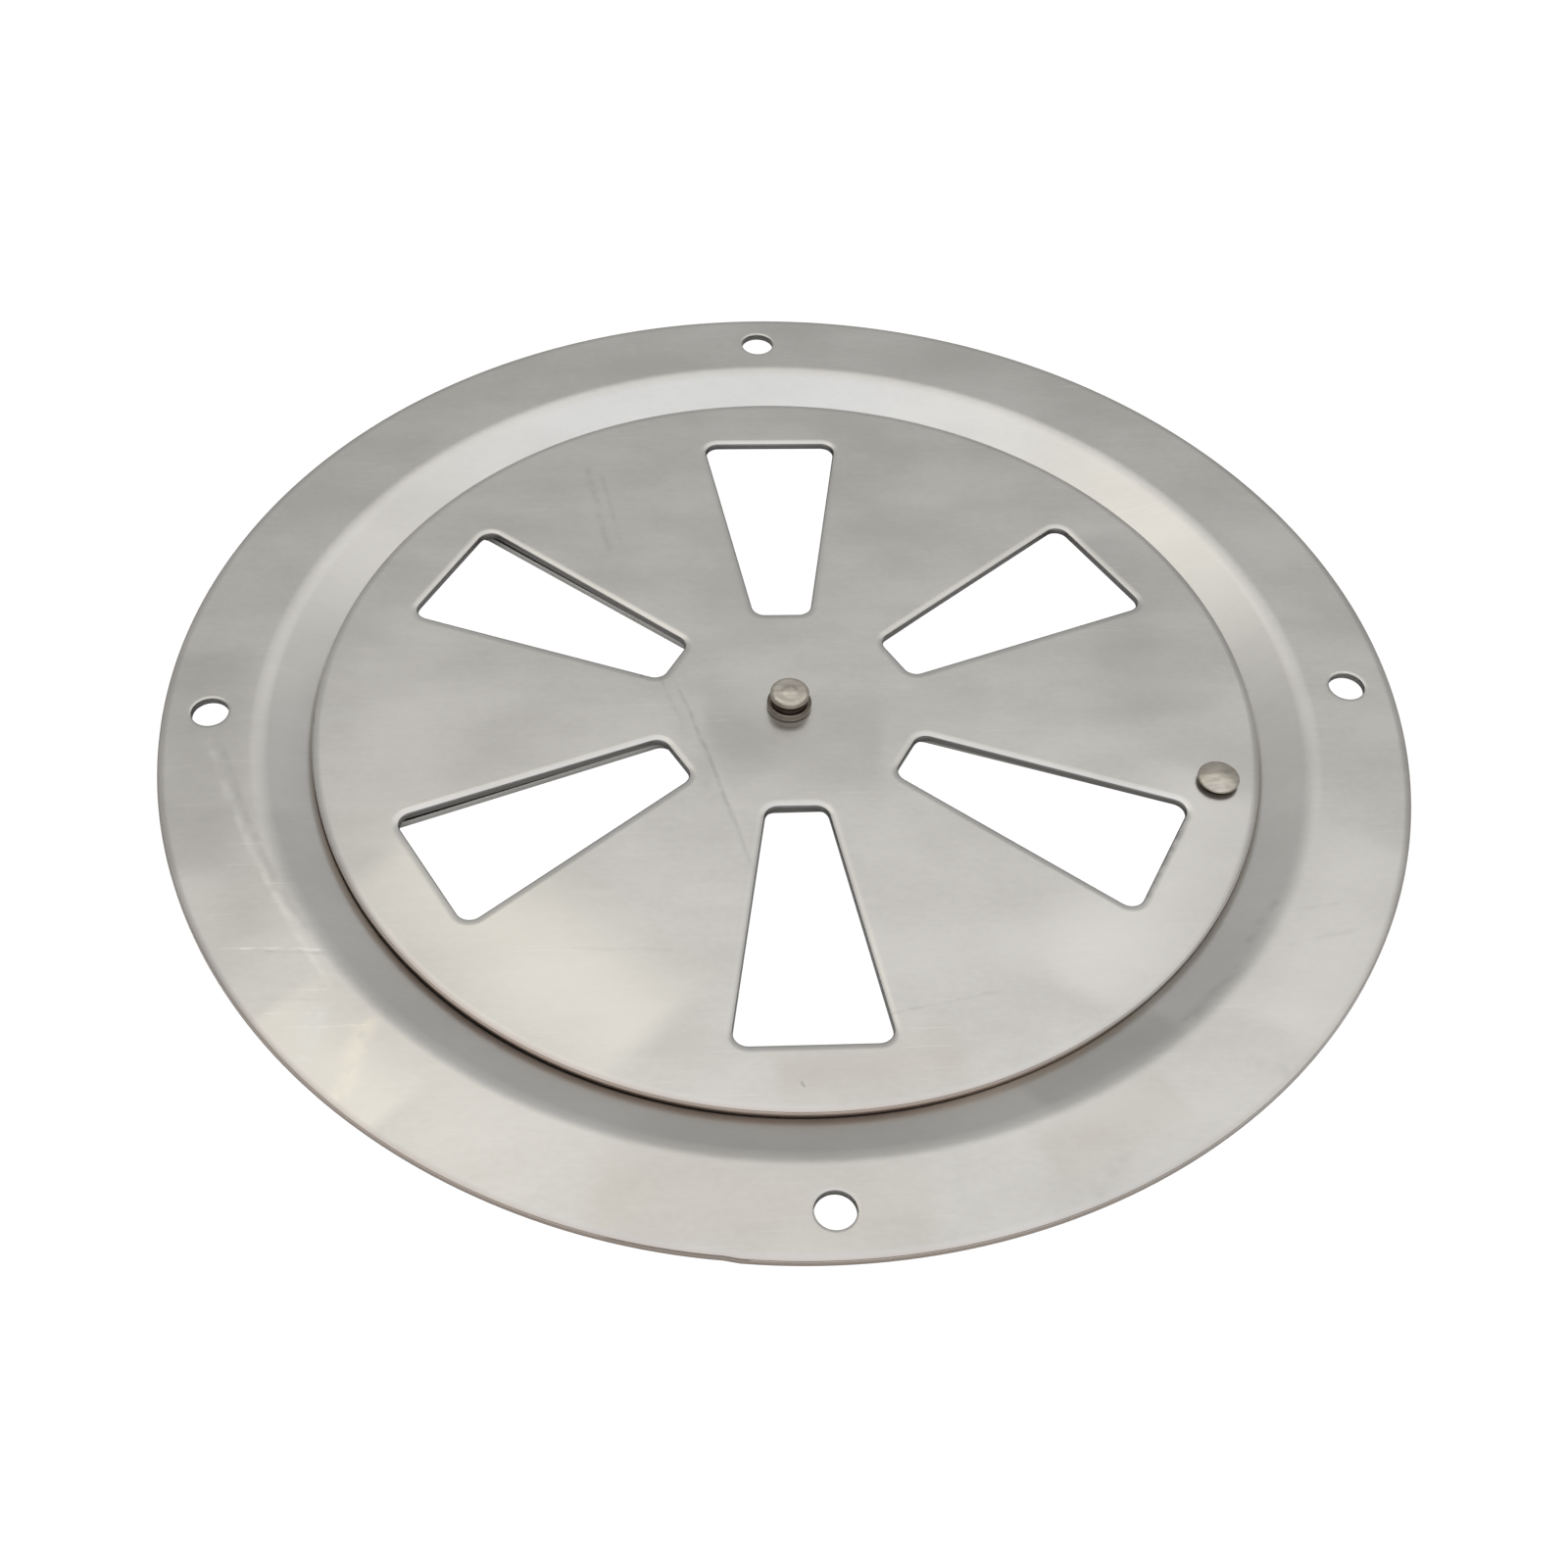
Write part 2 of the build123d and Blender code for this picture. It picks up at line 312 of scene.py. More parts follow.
# Places that the frame gives
flange_low, flange_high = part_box("flange_plate")
shutter_low, shutter_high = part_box("shutter_disc")
pivot_low, pivot_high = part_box("pivot_rivet")
knob_low, knob_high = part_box("finger_knob")
sheet_t = shutter_high.z - shutter_low.z
flange_r = (flange_high.x - flange_low.x) / 2
shutter_r = (shutter_high.x - shutter_low.x) / 2
flange_top = flange_high.z
floor_bottom = flange_low.z
floor_top = floor_bottom + sheet_t
mouth_r = flange_r - FLANGE_WIDTH
floor_r = mouth_r - (flange_top - floor_top) / tan(WALL_ANGLE)
slot_outer_r = shutter_r - SLOT_RIM
slot_flare = (SLOT_OUTER_W - SLOT_INNER_W) / 2 / (slot_outer_r - SLOT_INNER_R)
knob_centre = (knob_low + knob_high) / 2
knob_r = (knob_high.x - knob_low.x) / 2


def circle(radius, count=HOLE_POINTS, centre=(0.0, 0.0)):
    """Points round a circle in the XY plane."""
    turns = [2 * pi * k / count for k in range(count)]
    return [(centre[0] + radius * cos(a), centre[1] + radius * sin(a)) for a in turns]


def slot(inner_r, outer_r, side_gap, angle, grow):
    """Points round one air slot at an angle, with its outline grown outwards."""
    inner_half = SLOT_INNER_W / 2 + (inner_r - SLOT_INNER_R) * slot_flare + side_gap
    outer_half = SLOT_OUTER_W / 2 + (outer_r - slot_outer_r) * slot_flare + side_gap
    corners = [
        Vector((inner_r, -inner_half)),
        Vector((outer_r, -outer_half)),
        Vector((outer_r, outer_half)),
        Vector((inner_r, inner_half)),
    ]
    sides = [(corners[(k + 1) % 4] - corners[k]).normalized() for k in range(4)]
    outward = [Vector((s.y, -s.x)) for s in sides]
    arcs = []
    for k in range(4):
        before, after = outward[k - 1], outward[k]
        centre = corners[k] - (before + after) * SLOT_CORNER / (1 + before.dot(after))
        start = atan2(before.y, before.x)
        sweep = -before.angle_signed(after)
        turns = [start + sweep * i / CORNER_STEPS for i in range(CORNER_STEPS + 1)]
        reach = SLOT_CORNER + grow
        arcs.append([centre + reach * Vector((cos(a), sin(a))) for a in turns])
    points = []
    for k in range(4):
        end, start = arcs[k][-1], arcs[(k + 1) % 4][0]
        points += arcs[k]
        points += [end.lerp(start, i / SIDE_STEPS) for i in range(1, SIDE_STEPS)]
    turn = Matrix.Rotation(angle, 2)
    return [tuple(turn @ p) for p in points]


def soften(corners):
    """The line through corners of (across, height, reach), each rounded over its reach."""
    line = [Vector(corner[:2]) for corner in corners]
    reaches = [corner[2] for corner in corners[1:-1]]
    made = [line[0]]
    for before, corner, after, reach in zip(line, line[1:], line[2:], reaches):
        start = corner + (before - corner).normalized() * reach
        end = corner + (after - corner).normalized() * reach
        for i in range(CURVE_STEPS + 1):
            t = i / CURVE_STEPS
            made.append(start * (1 - t) ** 2 + corner * 2 * t * (1 - t) + end * t ** 2)
    made.append(line[-1])
    kept = [made[0]]
    for p in made[1:]:
        if (p - kept[-1]).length > SAME_PLACE:
            kept.append(p)
    return kept


def punched_edge(top, bottom, share=1.0):
    """The section of a punched edge: distance into the sheet, and height, from face to back."""
    reach, drop, corner = ROLL_REACH * share, ROLL_DROP * share, ROLL_CORNER * share
    return soften(
        [
            (reach, top, 0.0),
            (reach / 2, top, reach / 2),
            (0.0, top - drop, corner),
            (0.0, bottom + BACK_BREAK, 0.0),
            (BACK_BREAK, bottom, 0.0),
        ]
    )


def rim(radius, dent=0.0):
    """Points round a sheet's rim, with a flat spot where dent is its depth."""
    points = []
    for k in range(RIM_POINTS):
        a = 2 * pi * k / RIM_POINTS - pi
        t = (a - DENT_START) / (DENT_END - DENT_START)
        r = radius - (dent * t ** 2 if 0.0 < t < 1.0 else 0.0)
        points.append((r * cos(a), r * sin(a)))
    return points


class SheetMesh:
    """A mesh put together from rings of points, with bands between rings and flat faces."""

    def __init__(self):
        self.bm = bmesh.new()
        names = ("painted_shade_and_cut", "copper_and_shade", "pressed")
        self.layers = [self.bm.verts.layers.float.new(name) for name in names]

    def ring(self, points, height, *shares):
        """A ring of points. shares gives its cut wall and painted shade, its warm tint and painted
        shade, and its pressed metal and painted highlight.
        """
        verts = [self.bm.verts.new((x, y, height)) for x, y in points]
        for v in verts:
            for layer, share in zip(self.layers, shares):
                v[layer] = share
        return verts

    def band(self, lower, upper):
        """Faces between two rings."""
        count = len(lower)
        for k in range(count):
            n = (k + 1) % count
            self.bm.faces.new((lower[k], lower[n], upper[n], upper[k]))

    def bands(self, rings):
        """Faces between each ring and the next."""
        for lower, upper in zip(rings, rings[1:]):
            self.band(lower, upper)

    def flat(self, *rings):
        """A flat face inside the first ring, with the other rings as its holes."""
        edges = []
        for ring in rings:
            for k in range(len(ring)):
                pair = (ring[k - 1], ring[k])
                edges.append(self.bm.edges.get(pair) or self.bm.edges.new(pair))
        bmesh.ops.triangle_fill(self.bm, use_beauty=True, edges=edges)

    def edge(self, section, outline, warm=0.0, dark=1.0, sides=1.0):
        """Rings down a punched edge. outline gives the ring's points at a distance into the sheet.

        dark is how much painted shade its cut wall has, and warm how warm its roll and wall are,
        the warm wall deepening into painted shade at the back. sides is the share of both that is
        left away from the front. Returns the rings at the face and the back.
        """
        reach, top = section[0]
        rings = []
        for inset, height in section:
            rolled = 1.0 - inset / reach
            # Below the roll: painted shade on the cut wall, and a warm tint deepening into painted
            # shade at the back
            cut = min(1.0, max(0.0, (top - height) / ROLL_DROP - CUT_START))
            deep = cut * (1.0 + (top - height) / (top - section[-1][1]))
            tint = warm * max(WARM_ROLL * rolled, deep)
            # The roll is lighter pressed metal, which makes a painted highlight
            pressed = rolled * (1.0 - warm / 2)
            ring = self.ring(outline(inset), height, cut * dark, tint, pressed)
            # Copper tint and painted shade are kept mostly to a rim's front stretch
            for v in ring:
                turn = atan2(v.co.y, v.co.x)
                front = min(turn - FRONT_START, FRONT_END - turn) / FRONT_FADE
                front = min(1.0, max(0.0, front))
                for layer in self.layers[:2]:
                    v[layer] *= sides + (1.0 - sides) * front
            rings.append(ring)
        self.bands(rings)
        return rings[0], rings[-1]

    def finish(self, name):
        """The mesh as a smooth object in the scene."""
        bmesh.ops.recalc_face_normals(self.bm, faces=self.bm.faces)
        for face in self.bm.faces:
            face.smooth = True
        mesh = bpy.data.meshes.new(name)
        self.bm.to_mesh(mesh)
        self.bm.free()
        piece = bpy.data.objects.new(name, mesh)
        scene.collection.objects.link(piece)
        normals = piece.modifiers.new("face_normals", "WEIGHTED_NORMAL")
        normals.keep_sharp = True
        return piece


def make_flange():
    """The pressed flange plate: slotted pan floor, two bends, flange and screw holes."""
    sheet = SheetMesh()
    half_turn = tan(WALL_ANGLE / 2)
    floor_bend_r = floor_r - FLOOR_BEND * half_turn
    mouth_bend_r = mouth_r + MOUTH_BEND * half_turn
    floor_bend_z = floor_top + FLOOR_BEND
    mouth_bend_z = flange_top - MOUTH_BEND

    def section(depth):
        """Rings from pan floor to flange, on the face or as far below it as depth."""
        rings = []
        for k in range(BEND_STEPS + 1):
            a = WALL_ANGLE * k / BEND_STEPS
            reach = FLOOR_BEND + depth
            r, z = floor_bend_r + reach * sin(a), floor_bend_z - reach * cos(a)
            rings.append(sheet.ring(rim(r), z, 0.0, 0.0, a / WALL_ANGLE))
        for k in range(BEND_STEPS + 1):
            a = WALL_ANGLE * (1 - k / BEND_STEPS)
            reach = MOUTH_BEND - depth
            r, z = mouth_bend_r - reach * sin(a), mouth_bend_z + reach * cos(a)
            rings.append(sheet.ring(rim(r), z, 0.0, 0.0, a / WALL_ANGLE))
        return rings

    face_rings = section(0.0)
    back_rings = section(sheet_t)
    sheet.bands(face_rings)
    sheet.bands(back_rings)

    floor_face, floor_back = [], []
    edge = punched_edge(floor_top, floor_bottom, PAN_SLOT_ROLL)
    for k in range(SLOT_COUNT):
        angle = SLOT_START + 2 * pi * k / SLOT_COUNT
        face, back = sheet.edge(
            edge,
            lambda inset, a=angle: slot(
                SLOT_INNER_R - FLOOR_SLOT_INNER,
                slot_outer_r + FLOOR_SLOT_OUTER,
                FLOOR_SLOT_SIDE,
                a,
                inset,
            ),
            dark=PAN_SLOT_DARK,
        )
        floor_face.append(face)
        floor_back.append(back)
    face, back = sheet.edge(edge, lambda inset: circle(PIVOT_R + inset))
    floor_face.append(face)
    floor_back.append(back)
    sheet.flat(face_rings[0], *floor_face)
    sheet.flat(back_rings[0], *floor_back)

    flange_face, flange_back = [], []
    edge = punched_edge(flange_top, flange_top - sheet_t, HOLE_ROLL)
    for k in range(SCREW_COUNT):
        a = 2 * pi * k / SCREW_COUNT
        centre = ((flange_r - SCREW_EDGE) * cos(a), (flange_r - SCREW_EDGE) * sin(a))
        face, back = sheet.edge(
            edge,
            lambda inset, c=centre: circle(SCREW_HOLE_R + inset, centre=c),
            dark=HOLE_DARK,
        )
        flange_face.append(face)
        flange_back.append(back)
    face, back = sheet.edge(
        punched_edge(flange_top, flange_top - sheet_t),
        lambda inset: rim(flange_r - inset, DENT_DEPTH),
        warm=FLANGE_RIM_WARM,
        sides=FLANGE_RIM_SIDES,
    )
    sheet.flat(face_rings[-1], face, *flange_face)
    sheet.flat(back_rings[-1], back, *flange_back)
    return sheet.finish("flange_sheet")


def make_shutter():
    """The flat shutter disc, at the turn that the photograph shows."""
    sheet = SheetMesh()
    top, bottom = shutter_high.z, shutter_low.z
    edge = punched_edge(top, bottom)
    burr = edge[:-2] + [Vector((0.0, bottom - BURR)), Vector((2 * BURR, bottom))]
    face, back = sheet.edge(
        burr,
        lambda inset: rim(shutter_r - inset),
        warm=SHUTTER_RIM_WARM,
        sides=SHUTTER_RIM_SIDES,
    )
    faces, backs = [face], [back]
    for k in range(SLOT_COUNT):
        angle = SLOT_START + 2 * pi * k / SLOT_COUNT + SHUTTER_TURN
        face, back = sheet.edge(
            edge, lambda inset, a=angle: slot(SLOT_INNER_R, slot_outer_r, 0.0, a, inset)
        )
        faces.append(face)
        backs.append(back)
    face, back = sheet.edge(
        punched_edge(top, bottom, HOLE_ROLL),
        lambda inset: circle(PIVOT_R + PIVOT_CLEARANCE + inset),
    )
    faces.append(face)
    backs.append(back)
    stake = [
        (KNOB_HOLE_LAND, top),
        (0.0, top),
        (0.0, bottom + KNOB_STAKE_DEPTH),
        (KNOB_STAKE_R - KNOB_SHANK_R, bottom),
    ]
    face, back = sheet.edge(
        stake, lambda inset: circle(KNOB_SHANK_R + inset, centre=knob_centre.xy)
    )
    faces.append(face)
    backs.append(back)
    sheet.flat(*faces)
    sheet.flat(*backs)
    for v in sheet.bm.verts:
        v.co.z -= LEAN * (v.co.x * cos(LEAN_WAY) + v.co.y * sin(LEAN_WAY)) / shutter_r
    return sheet.finish("shutter_sheet")


def make_lathe(name, section, centre, dark):
    """A turned piece from its section, a line of (radius, height) from axis to axis.

    dark lists the lowest and highest height at which its side gets painted shade, and how dark.
    """
    sheet = SheetMesh()
    rings = []
    for r, z in section[1:-1]:
        shade = max((share for low, high, share in dark if low <= z <= high), default=0.0)
        rings.append(sheet.ring(circle(r, 2 * HOLE_POINTS, centre), z, shade))
    sheet.bands(rings)
    for ring, (_, z) in ((rings[0], section[0]), (rings[-1], section[-1])):
        tip = sheet.ring([centre], z)[0]
        for k in range(len(ring)):
            sheet.bm.faces.new((ring[k - 1], ring[k], tip))
    return sheet.finish(name)


def make_pivot():
    """The pivot rivet: cap with a raised spot, neck, collar, shank and formed tail."""
    top = pivot_high.z
    foot = top - PIVOT_HEAD_H
    collar_top = foot + PIVOT_COLLAR_H
    cap_rim = top - PIVOT_CROWN
    cap_foot = cap_rim - PIVOT_CAP_H
    tail_r = (pivot_high.x - pivot_low.x) / 2
    section = soften(
        [
            (0.0, top, 0.0),
            (PIVOT_SPOT_R, top, 0.2 * MM),
            (PIVOT_SPOT_FOOT_R, top - PIVOT_SPOT_H, 0.2 * MM),
            (PIVOT_CAP_R - PIVOT_SLOPE_W, top - PIVOT_SLOPE_TOP, 0.2 * MM),
            (PIVOT_CAP_R, cap_rim - PIVOT_SLOPE_FOOT, 0.15 * MM),
            (PIVOT_CAP_R, cap_foot, 0.2 * MM),
            (PIVOT_NECK_R, cap_foot, 0.08 * MM),
            (PIVOT_NECK_R, collar_top, 0.08 * MM),
            (PIVOT_COLLAR_R, collar_top, 0.25 * MM),
            (PIVOT_COLLAR_R, foot, 0.1 * MM),
            (PIVOT_R, foot, 0.02 * MM),
            (PIVOT_R, floor_bottom, 0.02 * MM),
            (tail_r, floor_bottom, 0.08 * MM),
            (tail_r, pivot_low.z, 0.5 * MM),
            (0.0, pivot_low.z, 0.0),
        ]
    )
    neck_low = collar_top - PIVOT_NECK_DARK[0]
    neck_high = cap_foot + PIVOT_NECK_DARK[1]
    # Painted shade on the collar's side and in the neck under the cap
    dark = ((foot, neck_low, PIVOT_COLLAR_DARK), (neck_low, neck_high, 1.0))
    return make_lathe("pivot_turned", section, (0.0, 0.0), dark)


def make_knob():
    """The finger knob: domed head drawn in to its foot, and a shank staked into the shutter."""
    top = knob_high.z
    dome_r = knob_r - KNOB_EDGE_W
    shoulder = top - KNOB_CROWN
    dome = [k / DOME_STEPS for k in range(DOME_STEPS)]
    section = soften(
        [(dome_r * out, top - KNOB_CROWN * out ** 2, 0.0) for out in dome]
        + [
            (dome_r, shoulder, 0.08 * MM),
            (knob_r, shoulder - KNOB_EDGE_DROP, 0.08 * MM),
            (KNOB_FOOT_R + KNOB_WAIST_FLARE, shoulder - KNOB_WAIST_DROP, 0.1 * MM),
            (KNOB_FOOT_R, shutter_high.z, 0.05 * MM),
            (KNOB_SHANK_R, shutter_high.z, 0.02 * MM),
            (KNOB_SHANK_R, shutter_low.z + KNOB_STAKE_DEPTH, 0.02 * MM),
            (KNOB_STAKE_R, shutter_low.z, 0.02 * MM),
            (0.0, shutter_low.z, 0.0),
        ]
    )
    # Painted shade on the knob's side, under the dome's edge
    dark = ((shutter_high.z, shoulder - KNOB_DARK_DROP, 1.0),)
    return make_lathe("knob_turned", section, knob_centre.xy, dark)


class Nodes:
    """Short ways to add and link the nodes of one shader tree."""

    def __init__(self, tree):
        self.tree = tree
        tree.nodes.clear()

    def add(self, kind, **values):
        """A node with some of its properties set."""
        node = self.tree.nodes.new(kind)
        for name, value in values.items():
            setattr(node, name, value)
        return node

    def put(self, socket, value):
        """Link a socket to another, or give it a constant."""
        if hasattr(value, "is_linked"):
            self.tree.links.new(value, socket)
        else:
            socket.default_value = value

    def math(self, operation, a, b=0.0):
        """The result of one sum."""
        node = self.add("ShaderNodeMath", operation=operation)
        self.put(node.inputs[0], a)
        self.put(node.inputs[1], b)
        return node.outputs[0]

    def total(self, *terms):
        """The sum of (value, weight) pairs."""
        made = None
        for value, weight in terms:
            part = self.math("MULTIPLY", value, weight)
            made = part if made is None else self.math("ADD", made, part)
        return made

    def span(self, value, low, high, to_low=0.0, to_high=1.0):
        """Value eased from the range low to high into another range."""
        node = self.add("ShaderNodeMapRange", interpolation_type="SMOOTHSTEP")
        for socket, v in zip(node.inputs, (value, low, high, to_low, to_high)):
            self.put(socket, v)
        return node.outputs[0]

    def mix(self, share, a, b):
        """Colour a with a share of colour b."""
        node = self.add("ShaderNodeMix", data_type="RGBA")
        sockets = [x for x in node.inputs if x.enabled]
        self.put(sockets[0], share)
        self.put(sockets[1], a)
        self.put(sockets[2], b)
        return next(x for x in node.outputs if x.enabled)

    def noise(self, place, grain, detail, seed):
        """Noise whose grains have the given size along X, Y and Z, in mm."""
        mapping = self.add("ShaderNodeMapping")
        self.put(mapping.inputs["Vector"], place)
        mapping.inputs["Scale"].default_value = [1 / (v * MM) for v in grain]
        mapping.inputs["Location"].default_value = [seed * v for v in NOISE_SHIFT]
        node = self.add("ShaderNodeTexNoise")
        self.put(node.inputs["Vector"], mapping.outputs[0])
        node.inputs["Scale"].default_value = 1.0
        node.inputs["Detail"].default_value = detail
        return node.outputs["Fac"]

    def bump(self, depth, terms):
        """A bump node whose height is the sum of (value, weight) pairs."""
        node = self.add("ShaderNodeBump")
        node.inputs["Strength"].default_value = 1.0
        node.inputs["Distance"].default_value = depth
        self.put(node.inputs["Height"], self.total(*terms))
        return node

    def mark(self, place, waver, start, end, width, bow):
        """1 along a line from start to end in the XY plane, bent sideways by bow in its middle.

        waver is a noise that pushes the line to and fro.
        """
        start, end = Vector(start) * MM, Vector(end) * MM
        middle, half = (start + end) / 2, (end - start).length / 2
        heading = atan2(end.y - start.y, end.x - start.x)
        mapping = self.add("ShaderNodeMapping", vector_type="TEXTURE")
        self.put(mapping.inputs["Vector"], place)
        mapping.inputs["Location"].default_value = (middle.x, middle.y, 0.0)
        mapping.inputs["Rotation"].default_value = (0.0, 0.0, heading)
        parts = self.add("ShaderNodeSeparateXYZ")
        self.put(parts.inputs[0], mapping.outputs[0])
        along, across = parts.outputs["X"], parts.outputs["Y"]
        if bow:
            bend = self.math("MULTIPLY", self.math("MULTIPLY", along, along), bow * MM / half ** 2)
            across = self.math("ADD", self.math("SUBTRACT", across, bow * MM), bend)
        across = self.total((across, 1.0), (waver, WAVER), (0.5, -WAVER))
        near = self.span(self.math("ABSOLUTE", across), 0.0, width * MM, 1.0, 0.0)
        inside = self.span(self.math("ABSOLUTE", along), half * MARK_FADE, half, 1.0, 0.0)
        return self.math("MULTIPLY", near, inside)


def satin_steel(name, seed, marks):
    """Sheet steel brushed along X, with soft clouds, handling marks, warm cut rims and painted
    light and shade.
    """
    material = bpy.data.materials.new(name)
    material.use_nodes = True
    n = Nodes(material.node_tree)
    place = n.add("ShaderNodeTexCoord").outputs["Object"]
    cut = n.add("ShaderNodeAttribute", attribute_name="painted_shade_and_cut").outputs["Fac"]
    warm = n.add("ShaderNodeAttribute", attribute_name="copper_and_shade").outputs["Fac"]
    pressed = n.add("ShaderNodeAttribute", attribute_name="pressed").outputs["Fac"]
    noises = {
        key: n.noise(place, grain, detail, seed + shift)
        for key, (grain, detail, shift) in SHEET_NOISES.items()
    }

    def weighed(weights):
        return [(noises[key], weight) for key, weight in weights.items()]

    tone = n.total(*weighed(TONE))
    colour = n.mix(n.span(tone, *NOISE_SPAN), STEEL_LOW, STEEL_HIGH)
    # Lighter pressed metal on bends and walls, and a painted highlight on rolled edges
    colour = n.mix(n.math("MULTIPLY", pressed, PRESSED_HIGHLIGHT_SHARE), colour, PRESSED_AND_HIGHLIGHT)
    patchy = n.span(noises["broken"], *PATCHY)
    # Handling marks, and painted highlights, shades and reflections, from the marks table
    for start, end, width, bow, tint, strength in marks:
        mark = n.mark(place, noises["drift"], start, end, width, bow)
        if width < BROAD:
            mark = n.math("MULTIPLY", mark, patchy)
        colour = n.mix(n.math("MULTIPLY", mark, strength), colour, tint)
    stray_low, stray_high, stray_share = STRAY
    scratch = n.math("MULTIPLY", n.span(noises["stray"], stray_low, stray_high), stray_share)
    colour = n.mix(scratch, colour, BRIGHT)
    # Painted shade on the cut walls, over their duller cut metal
    colour = n.mix(n.math("MULTIPLY", cut, SHADE_AND_CUT_SHARE), colour, CUT_FACE_AND_SHADE)
    # Copper tint on warm rims, deepening into painted shade at the back of their walls
    colour = n.mix(n.span(warm, *COPPER_SPAN), colour, COPPER)
    colour = n.mix(n.span(warm, *PAINTED_RIM_SHADE_SPAN), colour, PAINTED_RIM_SHADE)

    waves = n.bump(WAVE_DEPTH, weighed(WAVES))
    grain = n.bump(GRAIN_DEPTH, weighed(GRAIN))
    n.put(grain.inputs["Normal"], waves.outputs[0])
    across = n.add("ShaderNodeCombineXYZ")
    across.inputs["Y"].default_value = 1.0
    sway = n.span(noises["broad"], *NOISE_SPAN, -BRUSH_SWAY, BRUSH_SWAY)
    n.put(across.inputs["X"], sway)
    tangent = n.add(
        "ShaderNodeVectorTransform",
        vector_type="VECTOR",
        convert_from="OBJECT",
        convert_to="WORLD",
    )
    n.put(tangent.inputs[0], across.outputs[0])

    steel = n.add("ShaderNodeBsdfPrincipled")
    steel.inputs["Metallic"].default_value = 1.0
    steel.inputs["Anisotropic"].default_value = STEEL_ANISOTROPY
    n.put(steel.inputs["Base Color"], colour)
    n.put(steel.inputs["Roughness"], n.span(tone, *NOISE_SPAN, *STEEL_ROUGHNESS))
    n.put(steel.inputs["Normal"], grain.outputs[0])
    n.put(steel.inputs["Tangent"], tangent.outputs[0])
    n.put(n.add("ShaderNodeOutputMaterial").inputs["Surface"], steel.outputs[0])
    return material


def rivet_steel(name):
    """Turned rivet steel, a little warmer and duller than the sheet, with painted shade on its
    sides.
    """
    material = bpy.data.materials.new(name)
    material.use_nodes = True
    n = Nodes(material.node_tree)
    place = n.add("ShaderNodeTexCoord").outputs["Object"]
    dark = n.add("ShaderNodeAttribute", attribute_name="painted_shade_and_cut").outputs["Fac"]
    grain = n.noise(place, RIVET_GRAIN, 3.0, RIVET_SEED)
    colour = n.mix(n.span(grain, *NOISE_SPAN), RIVET_LOW, RIVET_HIGH)
    # Painted shade on the sides under the heads
    colour = n.mix(n.math("MULTIPLY", dark, SHADE_AND_CUT_SHARE), colour, RIVET_DARK)
    steel = n.add("ShaderNodeBsdfPrincipled")
    steel.inputs["Metallic"].default_value = 1.0
    n.put(steel.inputs["Base Color"], colour)
    n.put(steel.inputs["Roughness"], n.span(grain, *NOISE_SPAN, *RIVET_ROUGHNESS))
    n.put(n.add("ShaderNodeOutputMaterial").inputs["Surface"], steel.outputs[0])
    return material


def make_backdrop(name, profile, shader, **values):
    """A round stage piece with one plain shader, from rings of (radius, height) upwards."""
    sheet = SheetMesh()
    rings = [sheet.ring(circle(r), z) for r, z in profile]
    sheet.bands(rings)
    sheet.flat(rings[0])
    if len(rings) > 1:
        sheet.flat(rings[-1])
    piece = sheet.finish(name)
    material = bpy.data.materials.new(name)
    material.use_nodes = True
    n = Nodes(material.node_tree)
    node = n.add(shader)
    for key, value in values.items():
        node.inputs[key].default_value = value
    n.put(n.add("ShaderNodeOutputMaterial").inputs["Surface"], node.outputs[0])
    piece.data.materials.append(material)
    return piece


def make_floor():
    """The white floor and dome that the camera sees, and the grey floor that the light sees."""
    ground = cad_box[0].z
    climb = [radians(90) * k / COVE_STEPS for k in range(COVE_STEPS)]
    dome = [(COVE_R * cos(a), ground + COVE_R * sin(a)) for a in climb]
    floor = make_backdrop("floor", dome, "ShaderNodeEmission", Strength=FLOOR_LEVEL)
    floor.visible_diffuse = False
    floor.visible_glossy = False
    floor.visible_shadow = False
    bounce = make_backdrop("bounce", dome[:1], "ShaderNodeBsdfDiffuse", Color=BOUNCE_COLOUR)
    bounce.visible_camera = False


def make_sky():
    """Soft light from all round, by height above a slightly tilted horizon."""
    world = bpy.data.worlds.new("studio")
    scene.world = world
    world.use_nodes = True
    n = Nodes(world.node_tree)
    way = n.add("ShaderNodeTexCoord").outputs["Generated"]

    def towards(x, y, z):
        node = n.add("ShaderNodeVectorMath", operation="DOT_PRODUCT")
        n.put(node.inputs[0], way)
        node.inputs[1].default_value = Vector((x, y, z)).normalized()
        return node.outputs["Value"]

    rise = n.math("ARCSINE", towards(sin(SKY_TILT), 0.0, cos(SKY_TILT)))
    ramp = n.add("ShaderNodeValToRGB")
    n.put(ramp.inputs[0], n.math("ADD", n.math("MULTIPLY", rise, 1 / pi), 0.5))
    while len(ramp.color_ramp.elements) < len(SKY):
        ramp.color_ramp.elements.new(0.5)
    for element, (degrees_up, level, blue) in zip(ramp.color_ramp.elements, SKY):
        element.position = (degrees_up + 90) / 180
        element.color = (level, level * (1 + blue / 3), level * (1 + blue), 1)
    front = n.span(towards(0.0, -1.0, 0.0), *SKY_FRONT)
    side = n.span(towards(1.0, 0.0, 0.0), *SKY_SIDE)
    back = n.add("ShaderNodeBackground")
    n.put(back.inputs["Color"], ramp.outputs["Color"])
    n.put(back.inputs["Strength"], n.math("MULTIPLY", front, side))
    n.put(n.add("ShaderNodeOutputWorld").inputs["Surface"], back.outputs[0])


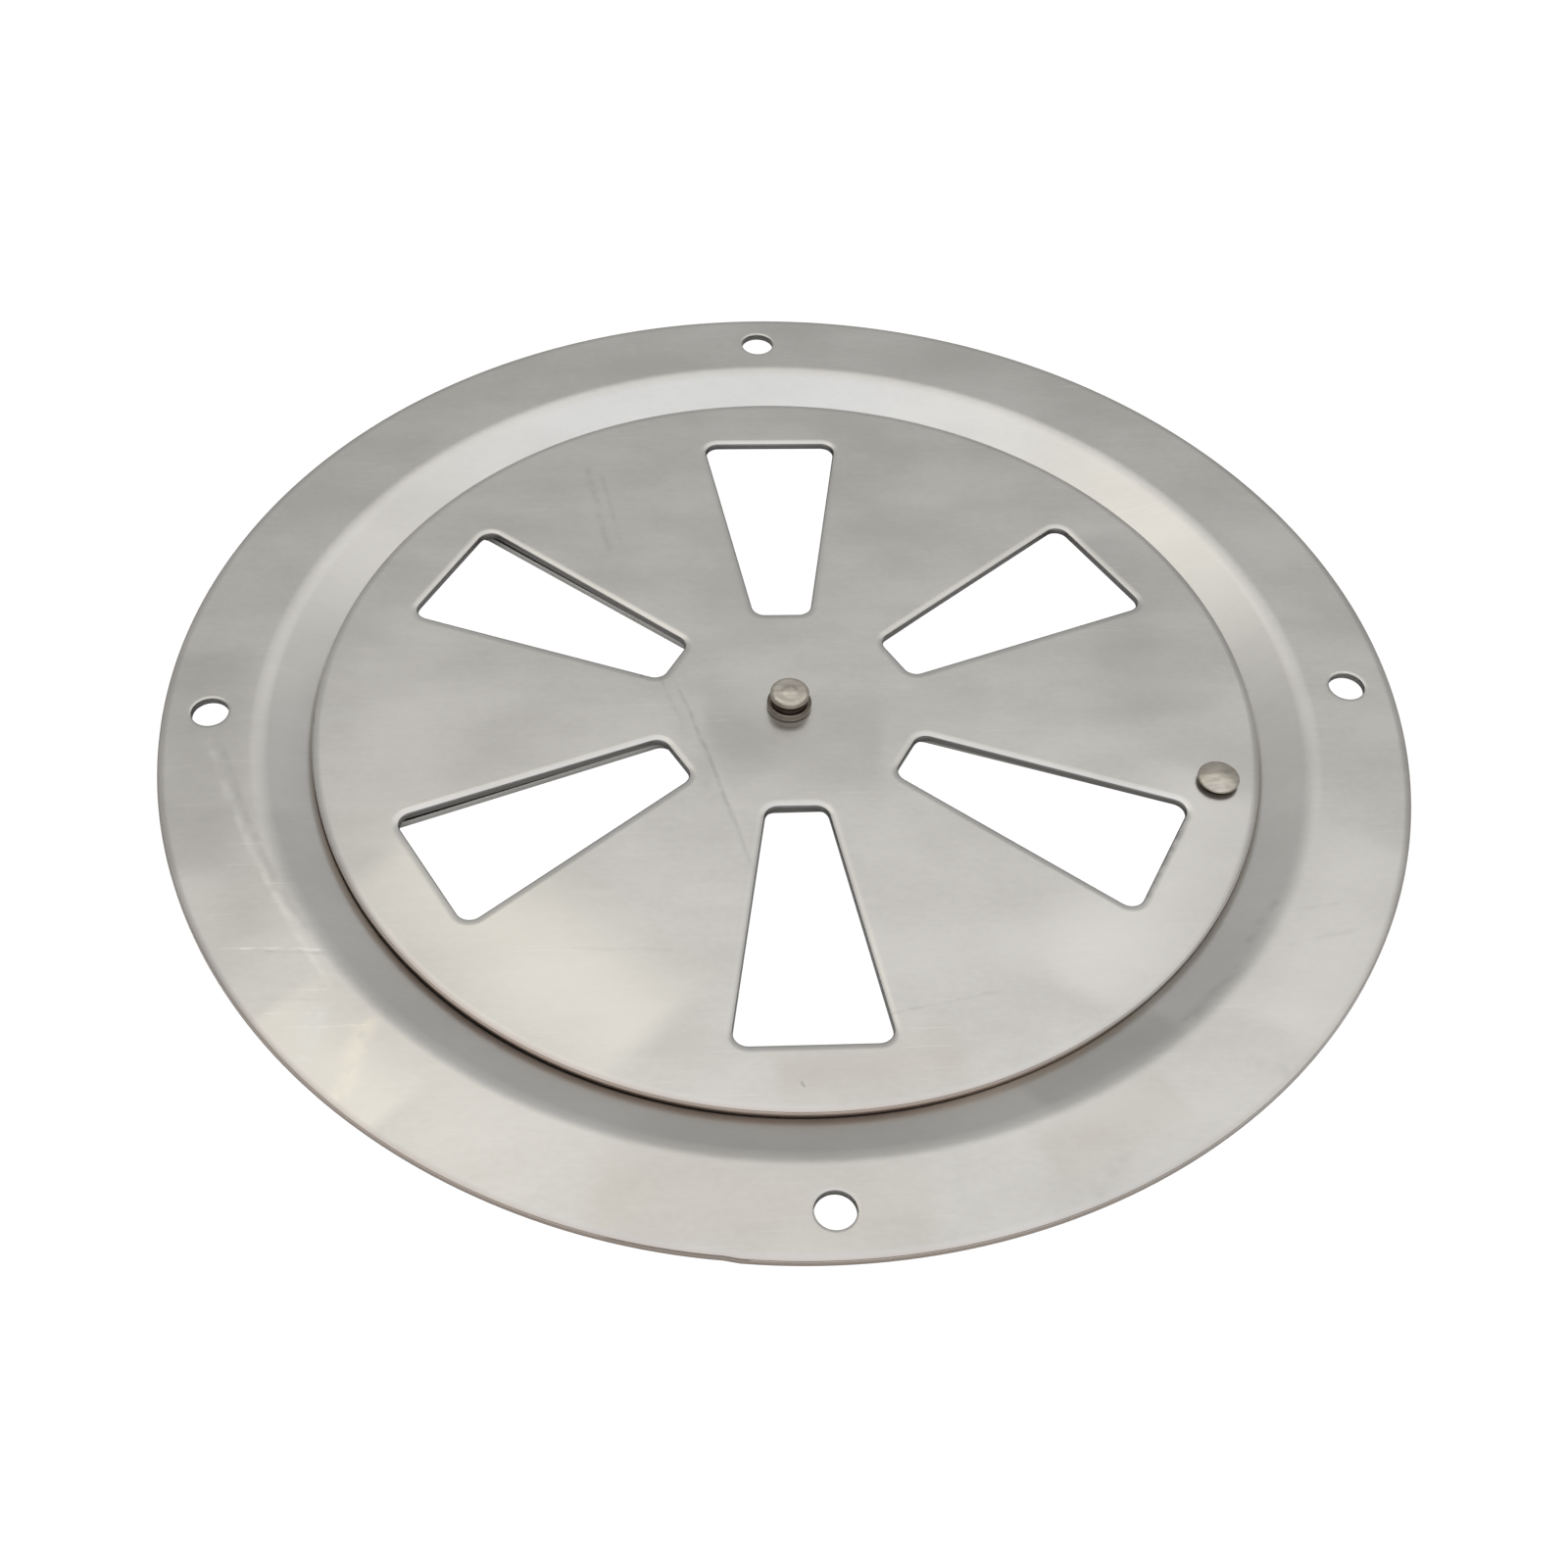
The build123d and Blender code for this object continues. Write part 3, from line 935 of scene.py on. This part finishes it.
def make_lamp():
    """A warm softbox above and behind the part."""
    softbox = bpy.data.lights.new("softbox", "AREA")
    softbox.shape = "RECTANGLE"
    softbox.size, softbox.size_y = LAMP_SIZE
    softbox.energy = LAMP_POWER
    softbox.color = LAMP_COLOUR
    lamp = bpy.data.objects.new("softbox", softbox)
    scene.collection.objects.link(lamp)
    flat = cos(LAMP_ELEVATION)
    way = Vector((sin(LAMP_AZIMUTH) * flat, cos(LAMP_AZIMUTH) * flat, sin(LAMP_ELEVATION)))
    lamp.location = way * LAMP_DISTANCE
    lamp.rotation_euler = way.to_track_quat("Z", "Y").to_euler()


def make_camera():
    """The camera at the photograph's viewing angle."""
    lens = bpy.data.cameras.new("camera")
    lens.sensor_width = CAM_SENSOR
    lens.lens = CAM_LENS
    lens.clip_start = CAM_CLIP
    camera = bpy.data.objects.new("camera", lens)
    scene.collection.objects.link(camera)
    flat = cos(CAM_ELEVATION)
    back_way = Vector((sin(CAM_AZIMUTH) * flat, -cos(CAM_AZIMUTH) * flat, sin(CAM_ELEVATION)))
    level_right = (-back_way).cross(Vector((0, 0, 1))).normalized()
    level_up = level_right.cross(-back_way)
    right = cos(CAM_ROLL) * level_right + sin(CAM_ROLL) * level_up
    up = cos(CAM_ROLL) * level_up - sin(CAM_ROLL) * level_right
    pose = Matrix((right, up, back_way)).transposed().to_4x4()
    pose.translation = CAM_AIM + CAM_DISTANCE * back_way
    camera.matrix_world = pose
    scene.camera = camera
    scene.view_settings.view_transform = "Standard"


def dress(piece, material, body, node):
    """Give a piece its material, and put it in place of a CAD node."""
    piece.data.materials.append(material)
    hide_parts(node)
    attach(piece, body)


rivet = rivet_steel("rivet_steel")
satin_flange = satin_steel("satin_flange", 0.0, FLANGE_MARKS)
satin_shutter = satin_steel("satin_shutter", 11.0, SHUTTER_MARKS)
dress(make_flange(), satin_flange, "frame", "flange_plate")
dress(make_shutter(), satin_shutter, "shutter", "shutter_disc")
dress(make_pivot(), rivet, "frame", "pivot_rivet")
dress(make_knob(), rivet, "shutter", "finger_knob")
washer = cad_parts["spacer_washer"]
washer.data.materials.clear()
washer.data.materials.append(rivet)
make_floor()
make_sky()
make_lamp()
make_camera()
